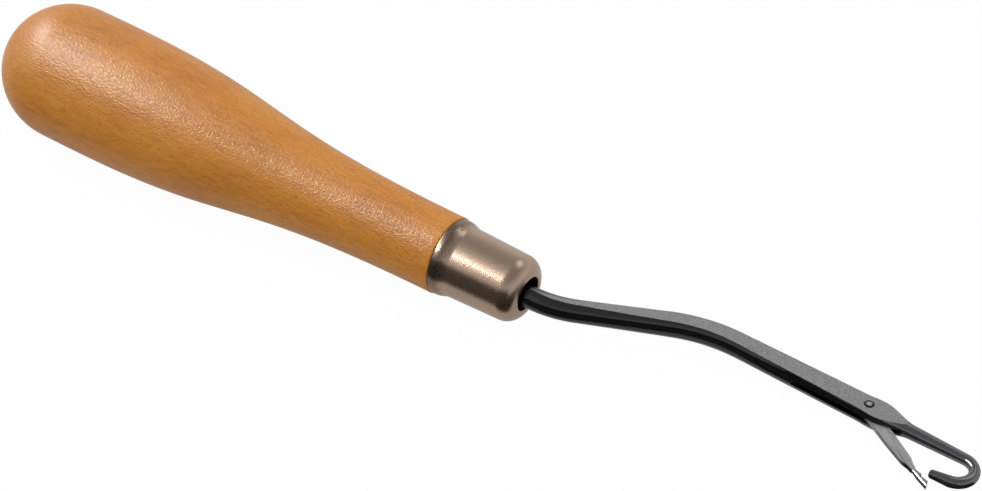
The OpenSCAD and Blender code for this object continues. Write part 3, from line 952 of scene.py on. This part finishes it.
@dataclass(frozen=True)
class Latch:
    """The swinging latch: an eye, a shouldered blade, a thin tongue and a spoon with a slanted end.

    Its own frame has the rivet at the origin, the spoon towards +X and the hook's side at +Y. Sizes are in
    millimetres and degrees.
    """

    rest_angle: float = 29.785
    thickness: float = 0.8
    eye_r: float = 1.12
    hole_r: float = 0.65
    blade_w: float = 1.98
    blade_drop: float = 0.12
    blade_len: float = 7.0
    shoulder_at: float = 11.0
    shoulder_w: float = 1.66
    spoon_start: float = 13.3
    tongue_w: float = 0.8
    spoon_root_r: float = 0.37
    spoon_r: float = 0.54
    spoon_len: float = 4.1
    spoon_bend: float = 4.2
    spoon_slant: float = 40.0
    seat: tuple[float, float] = (14.999, 0.46)
    seat_pitch: float = -148.915
    seat_radii: tuple[float, float] = (1.01, 0.8)
    arm_len: float = 3.0
    seat_gap: float = 0.12
    steps: int = 48
    tongue_steps: int = 12
    spare: float = 1.0

    def build(self, place: Matrix, material: bpy.types.Material) -> bpy.types.Object:
        """Makes the latch.

        Args:
            place: Where the latch's own frame lies.
            material: Its finish.

        Returns:
            The piece.
        """
        piece = self._spoon(material)
        self._carve_seat(piece)
        shape = bmesh.new()
        shape.from_mesh(piece.data)
        self._blade(shape)
        bmesh.ops.recalc_face_normals(shape, faces=shape.faces)
        for face in shape.faces:
            face.smooth = True
        shape.to_mesh(piece.data)
        shape.free()
        piece.data.materials.clear()
        piece.data.materials.append(material)
        piece.data.transform(place)
        piece.data.set_sharp_from_angle(angle=SHARP_ANGLE)
        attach(piece, Body.LATCH.value)
        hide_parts("latch")
        return piece

    def _spoon(self, material: bpy.types.Material) -> bpy.types.Object:
        """Turns the spoon, bends it from the blade's line and cuts its end off on a slant.

        Args:
            material: Its finish.

        Returns:
            The spoon, in the latch's own frame.
        """
        turning = TurningTree("round_spoon")
        turning.values.update({"Finish": material, "Segments": 64})
        root_len = self.spoon_start - self.shoulder_at
        middle = self.spoon_len / 2
        nose = turning.point("Nose", 0, -root_len)
        nose_handle = turning.point("Nose Handle", self.spoon_root_r * 0.52, -root_len * 0.67)
        root_handle = turning.point("Root Handle", self.spoon_root_r, -root_len * 0.33)
        root = turning.point("Root", self.spoon_root_r, 0)
        swell_out = turning.point("Swell Handle", self.spoon_root_r, middle * EASE)
        swell_in = turning.point("Full Handle", self.spoon_r, middle * (1 - EASE))
        full = turning.point("Full Width", self.spoon_r, middle)
        far = turning.point("Far Edge", self.spoon_r, self.spoon_len + self.spare)
        far_middle = turning.point("Far Middle", 0, self.spoon_len + self.spare)
        turning.curve([nose, nose_handle, root_handle, root], 16)
        turning.curve([root, swell_out, swell_in, full], 16)
        turning.line(full, far)
        turning.line(far, far_middle)
        turning.finish()
        spoon = turning.grow("latch_blade", Matrix.Rotation(math.pi / 2, 4, "Y"))
        shape = bmesh.new()
        shape.from_mesh(spoon.data)
        slant = math.radians(self.spoon_slant)
        cut = bmesh.ops.bisect_plane(
            shape,
            geom=[*shape.verts, *shape.edges, *shape.faces],
            plane_co=Vector((self.spoon_len, -self.spoon_r, 0)) * MM,
            plane_no=(math.cos(slant), math.sin(slant), 0),
            clear_outer=True,
        )
        rim = [item for item in cut["geom_cut"] if isinstance(item, bmesh.types.BMEdge)]
        bmesh.ops.holes_fill(shape, edges=rim)
        shape.to_mesh(spoon.data)
        shape.free()
        start = Matrix.Translation(Vector((self.spoon_start, -self.blade_drop, 0)) * MM)
        spoon.data.transform(start @ Matrix.Rotation(math.radians(self.spoon_bend), 4, "Z"))
        return spoon

    def _carve_seat(self, piece: bpy.types.Object) -> None:
        """Hollows the spoon where the hook's tip lies when the latch is closed.

        Args:
            piece: The spoon, in the latch's own frame.
        """
        seat_len = self.arm_len + self.seat_gap
        shape = bmesh.new()
        bmesh.ops.create_cone(
            shape,
            cap_ends=True,
            segments=self.steps,
            radius1=self.seat_radii[0] * MM,
            radius2=self.seat_radii[1] * MM,
            depth=seat_len * MM,
        )
        mesh = bpy.data.meshes.new("hook_tip_room")
        shape.to_mesh(mesh)
        shape.free()
        pitch = Matrix.Rotation(math.radians(self.seat_pitch), 4, "Z")
        seat = Matrix.Translation(Vector((*self.seat, 0)) * MM) @ pitch
        along = Matrix.Translation(Vector((self.seat_gap - seat_len / 2, 0, 0)) * MM)
        mesh.transform(seat @ along @ Matrix.Rotation(math.pi / 2, 4, "Y"))
        cutter = bpy.data.objects.new("hook_tip_room", mesh)
        bpy.context.scene.collection.objects.link(cutter)
        carving = piece.modifiers.new("seat", "BOOLEAN")
        carving.operation = "DIFFERENCE"
        carving.solver = "EXACT"
        carving.object = cutter
        carved = bpy.data.meshes.new_from_object(piece.evaluated_get(bpy.context.evaluated_depsgraph_get()))
        piece.modifiers.clear()
        piece.data = carved
        bpy.data.objects.remove(cutter)

    def _outline(self) -> list[Vector]:
        """Works out the edge of the flat part, from the upper side of the eye round to the tongue and back.

        Returns:
            The corners, in metres.
        """
        half = self.blade_w / 2
        upper = math.asin((half - self.blade_drop) / self.eye_r)
        lower = 2 * math.pi - math.asin((half + self.blade_drop) / self.eye_r)
        angles = [upper + (lower - upper) * i / self.steps for i in range(self.steps + 1)]
        eye = [(self.eye_r * math.cos(a), self.eye_r * math.sin(a)) for a in angles]
        side = [(self.blade_len, half)]
        for i in range(self.steps // 2 + 1):
            share = i / (self.steps // 2)
            ease = (1 + math.cos(math.pi * share)) / 2
            width = self.tongue_w + (self.shoulder_w - self.tongue_w) * ease
            side.append((self.shoulder_at + (self.spoon_start - self.shoulder_at) * share, width / 2))
        round_r = self.tongue_w / 2
        for i in range(1, self.tongue_steps):
            turn = math.pi / 2 * i / self.tongue_steps
            side.append((self.spoon_start + round_r * math.sin(turn), round_r * math.cos(turn)))
        tip = [(self.spoon_start + round_r, -self.blade_drop)]
        near = [(x, -y - self.blade_drop) for x, y in side]
        far = [(x, y - self.blade_drop) for x, y in reversed(side)]
        return [Vector((x, y, 0)) * MM for x, y in (*eye, *near, *tip, *far)]

    def _blade(self, shape: bmesh.types.BMesh) -> None:
        """Adds the flat part, with the eye's hole, to the mesh.

        Args:
            shape: The mesh that gets it.
        """
        turns = [2 * math.pi * i / self.steps for i in range(self.steps)]
        hole = [Vector((math.cos(a), math.sin(a), 0)) * self.hole_r * MM for a in turns]
        loops = [self._outline(), hole]
        half = Vector((0, 0, self.thickness / 2)) * MM
        corners = [point for loop in loops for point in loop]
        sides = [[shape.verts.new(point + offset) for point in corners] for offset in (half, -half)]
        for row in sides:
            for corner in tessellate_polygon(loops):
                shape.faces.new([row[i] for i in corner])
        start = 0
        for loop in loops:
            for i in range(len(loop)):
                a, b = start + i, start + (i + 1) % len(loop)
                shape.faces.new((sides[0][a], sides[0][b], sides[1][b], sides[1][a]))
            start += len(loop)

    def dress(self, latch_place: Matrix) -> bpy.types.Object:
        """Makes the latch and gives the rivet its finish.

        Args:
            latch_place: Where the latch's own frame lies.

        Returns:
            The latch.
        """
        strip = DrawnStrip(self.shoulder_at)
        frame["nodes"]["latch_rivet"].material_slots[0].material = PeenedSteel().build(latch_place)
        return self.build(latch_place, strip.build(latch_place))


def main() -> None:
    """Builds the studio and dresses every piece."""
    logging.basicConfig(level=logging.INFO, format="%(name)s: %(message)s")
    PhotographCamera().place()
    Studio().build()
    grip = Grip()
    ferrule = Ferrule()
    shank = HookShank(grip.length + ferrule.length)
    latch = Latch()
    places = ToolFrame.from_joint(
        frame["joints"][0], shank.rivet_at, math.radians(shank.stem_sag), math.radians(latch.rest_angle)
    )
    turned = places.tool @ Matrix.Rotation(math.pi / 2, 4, "Y")
    handle = grip.build(turned, VarnishedBeech().build(places.tool, grip.length), ferrule)
    LOG.info("%s has %d faces", handle.name, len(handle.data.polygons))
    nickel = DullNickel().build(places.tool, grip.length)
    cap = ferrule.build(turned @ Matrix.Translation((0, 0, grip.length * MM)), nickel)
    LOG.info("%s has %d faces", cap.name, len(cap.data.polygons))
    shank.dress(places.tool, BlackenedSteel())
    blade = latch.dress(places.latch)
    LOG.info("%s has %d faces; shank and rivet are dressed", blade.name, len(blade.data.polygons))


if __name__ == "__main__":
    main()
